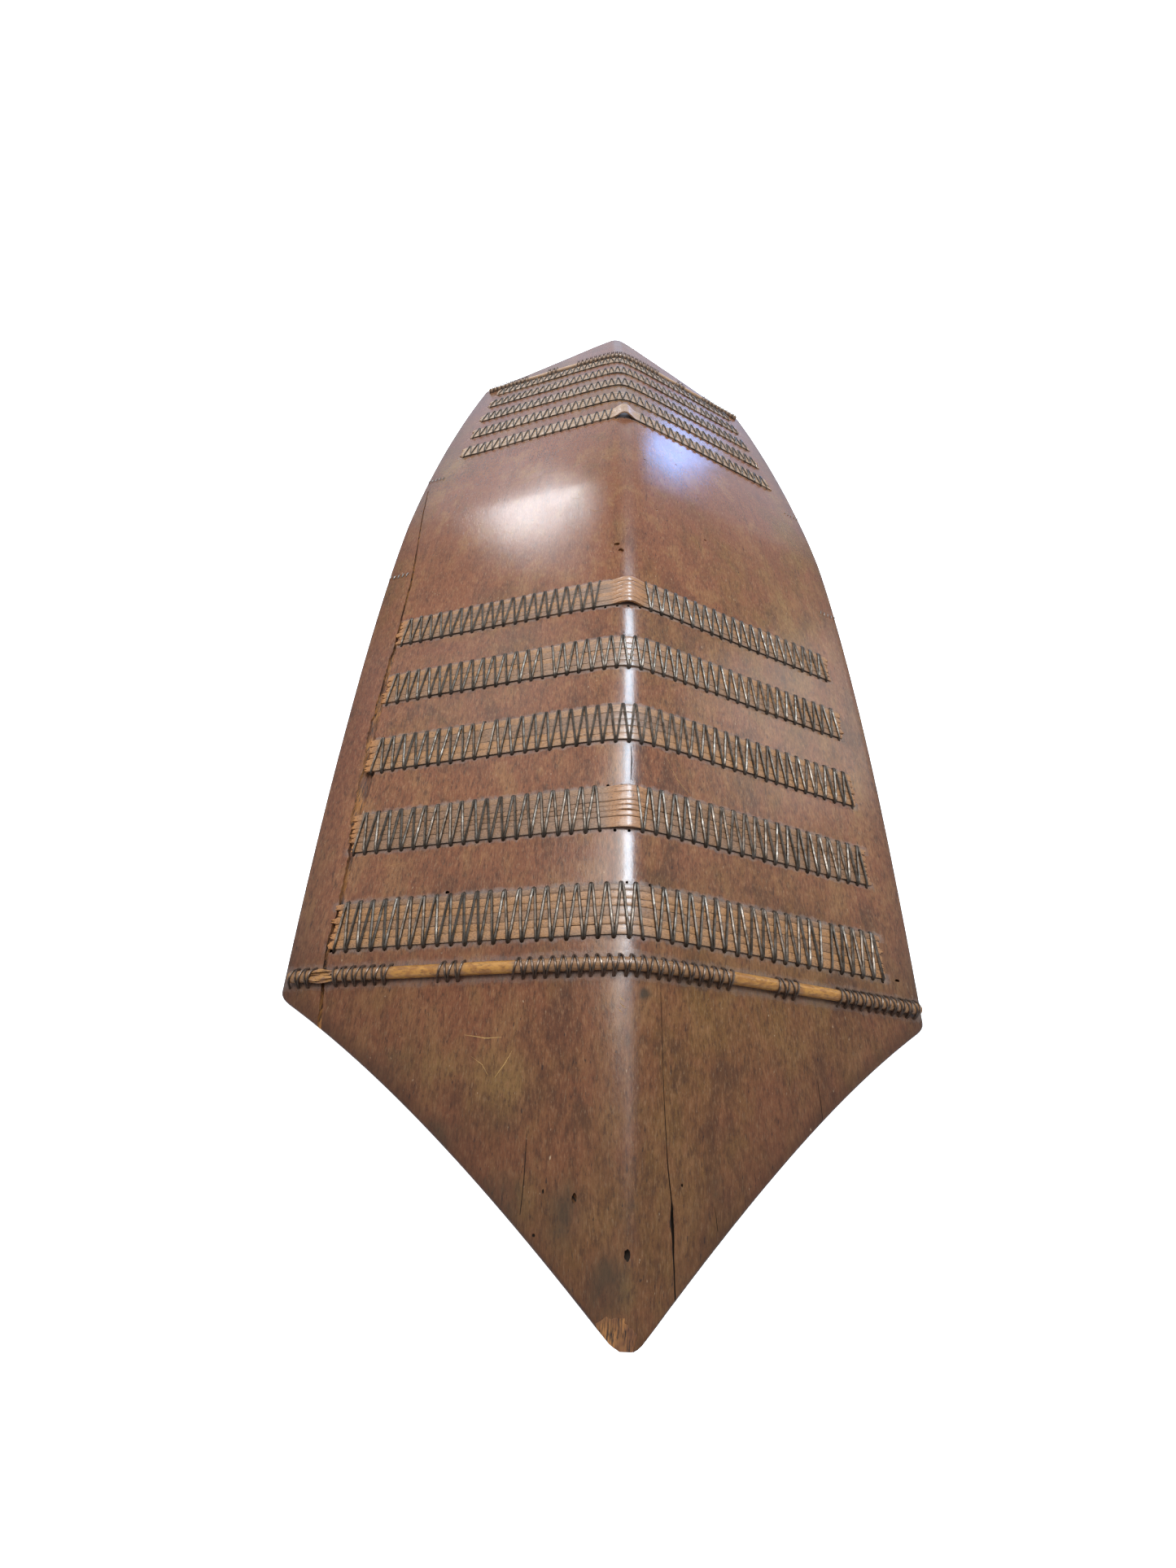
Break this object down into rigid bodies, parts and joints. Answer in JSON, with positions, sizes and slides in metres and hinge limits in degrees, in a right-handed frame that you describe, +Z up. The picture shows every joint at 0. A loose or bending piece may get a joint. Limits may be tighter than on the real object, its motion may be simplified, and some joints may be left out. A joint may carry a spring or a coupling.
{
  "type": "tribal shield",
  "caption": "Long hexagonal wooden shield, ridged and bowed, with a carved grip behind, crossed by rattan bands and canes that are laced on with wire.",
  "frame": {"origin": "middle of the shield on the surface that its four worn shoulder corners lie on", "axes": "+Y along the ridge from the near tip, which is chipped, to the far tip, +Z up through the ridge, +X to the right side as seen from the near tip"},
  "size_m": [0.442, 1.2, 0.1124],
  "materials": {
    "board_wood": "dark red-brown patina, rubbed to a satin shine",
    "band_rattan": "split rattan, dry and matt, dusty",
    "cane_rattan": "round rattan cane, ochre, smooth skin",
    "lacing_wire": "dull grey wire, worn bright on its crests",
    "cane_wire": "dark brown tarnished wire",
    "stitch_wire": "pale grey wire"
  },
  "bodies": {
    "root": {"board": "board_wood", "rattan_band_near_1": "band_rattan", "rattan_band_near_2": "band_rattan", "rattan_band_near_3": "band_rattan", "rattan_band_near_4": "band_rattan", "rattan_band_near_5": "band_rattan", "cane_near": "cane_rattan", "cane_lacing_near_left_end": "cane_wire", "cane_lacing_near_left": "cane_wire", "cane_lacing_near_middle": "cane_wire", "cane_lacing_near_right": "cane_wire", "cane_lacing_near_right_end": "cane_wire", "edge_stitches_near_left": "stitch_wire", "edge_stitches_near_right": "stitch_wire", "rattan_band_far_1": "band_rattan", "rattan_band_far_2": "band_rattan", "rattan_band_far_3": "band_rattan", "rattan_band_far_4": "band_rattan", "rattan_band_far_5": "band_rattan", "cane_far": "cane_rattan", "cane_lacing_far_left_end": "cane_wire", "cane_lacing_far_left": "cane_wire", "cane_lacing_far_middle": "cane_wire", "cane_lacing_far_right": "cane_wire", "cane_lacing_far_right_end": "cane_wire", "edge_stitches_far_left": "stitch_wire", "edge_stitches_far_right": "stitch_wire", "band_lacing_near_1": "lacing_wire", "band_lacing_near_2_left": "lacing_wire", "band_lacing_near_2_right": "lacing_wire", "band_lacing_near_3": "lacing_wire", "band_lacing_near_4": "lacing_wire", "band_lacing_near_5_left": "lacing_wire", "band_lacing_near_5_right": "lacing_wire", "band_lacing_far_1": "lacing_wire", "band_lacing_far_2": "lacing_wire", "band_lacing_far_3": "lacing_wire", "band_lacing_far_4": "lacing_wire", "band_lacing_far_5_left": "lacing_wire", "band_lacing_far_5_right": "lacing_wire"}
  },
  "joints": []
}
